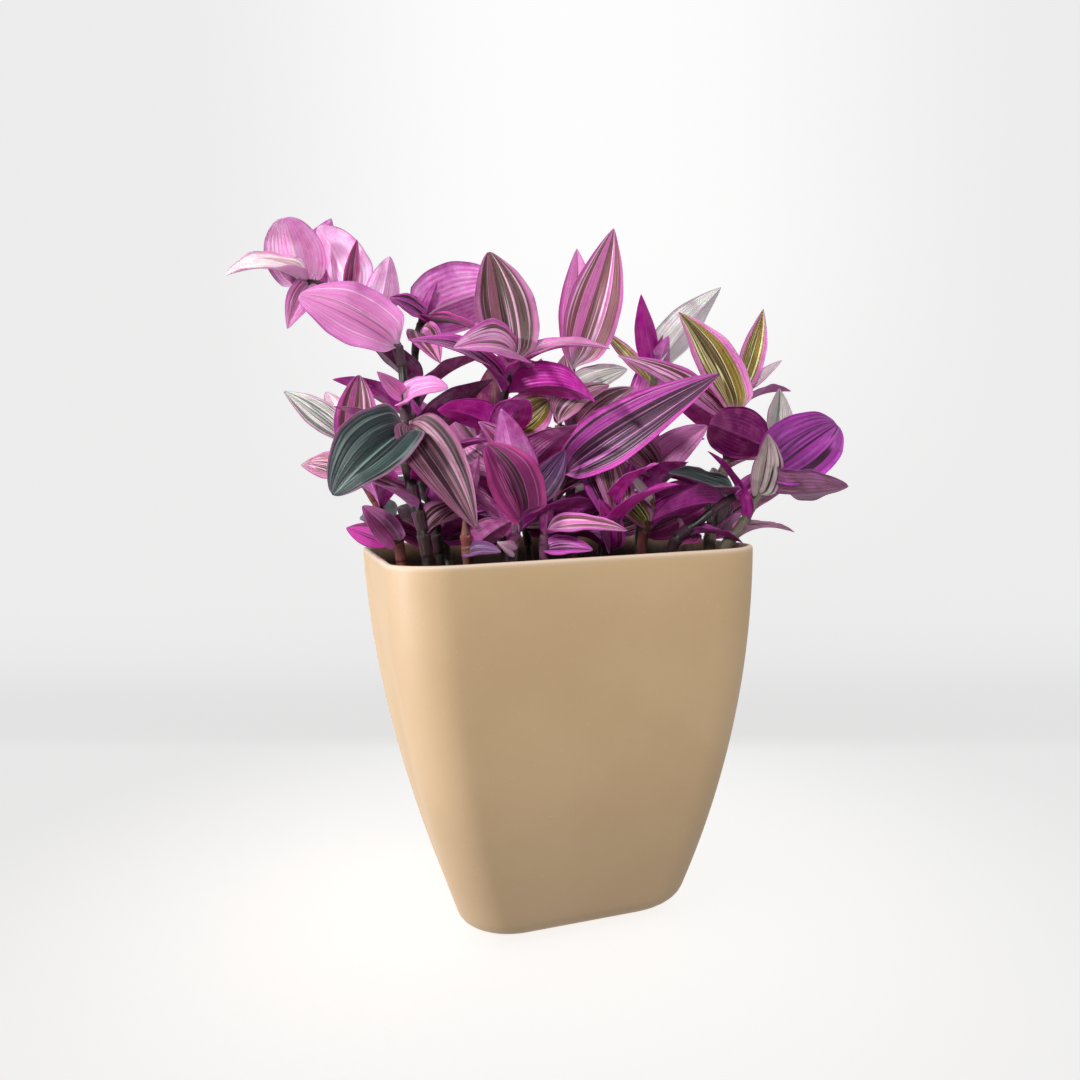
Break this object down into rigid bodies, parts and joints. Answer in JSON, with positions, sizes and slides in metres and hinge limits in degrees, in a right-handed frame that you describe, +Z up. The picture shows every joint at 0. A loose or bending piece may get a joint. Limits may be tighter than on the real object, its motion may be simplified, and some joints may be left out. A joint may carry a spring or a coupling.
{
  "type": "potted tradescantia",
  "caption": "Trailing house plant with striped magenta and green pointed leaves on jointed stems, in a square tapered planter filled with compost.",
  "frame": {"origin": "centre of the planter's foot, on the surface that it stands on", "axes": "+Z up, -Y towards the front, so that +X is to the right of a viewer in front of the planter"},
  "size_m": [0.2401, 0.1706, 0.302],
  "materials": {
    "planter": "matte",
    "compost": "matte",
    "foliage": "satin"
  },
  "bodies": {
    "root": {"planter": "planter", "compost": "compost", "shoot_left_tall": "foliage", "shoot_left_back": "foliage", "shoot_left_low": "foliage", "shoot_centre_left": "foliage", "shoot_front_centre": "foliage", "shoot_centre": "foliage", "shoot_tall": "foliage", "shoot_right_top": "foliage", "shoot_right_back": "foliage", "shoot_right": "foliage", "shoot_right_mid": "foliage", "shoot_mid_right": "foliage", "shoot_low_centre": "foliage", "shoot_low_left": "foliage", "shoot_low_right": "foliage", "shoot_inner": "foliage", "shoot_back_left": "foliage", "shoot_back_middle": "foliage", "shoot_back_right": "foliage"}
  },
  "joints": []
}
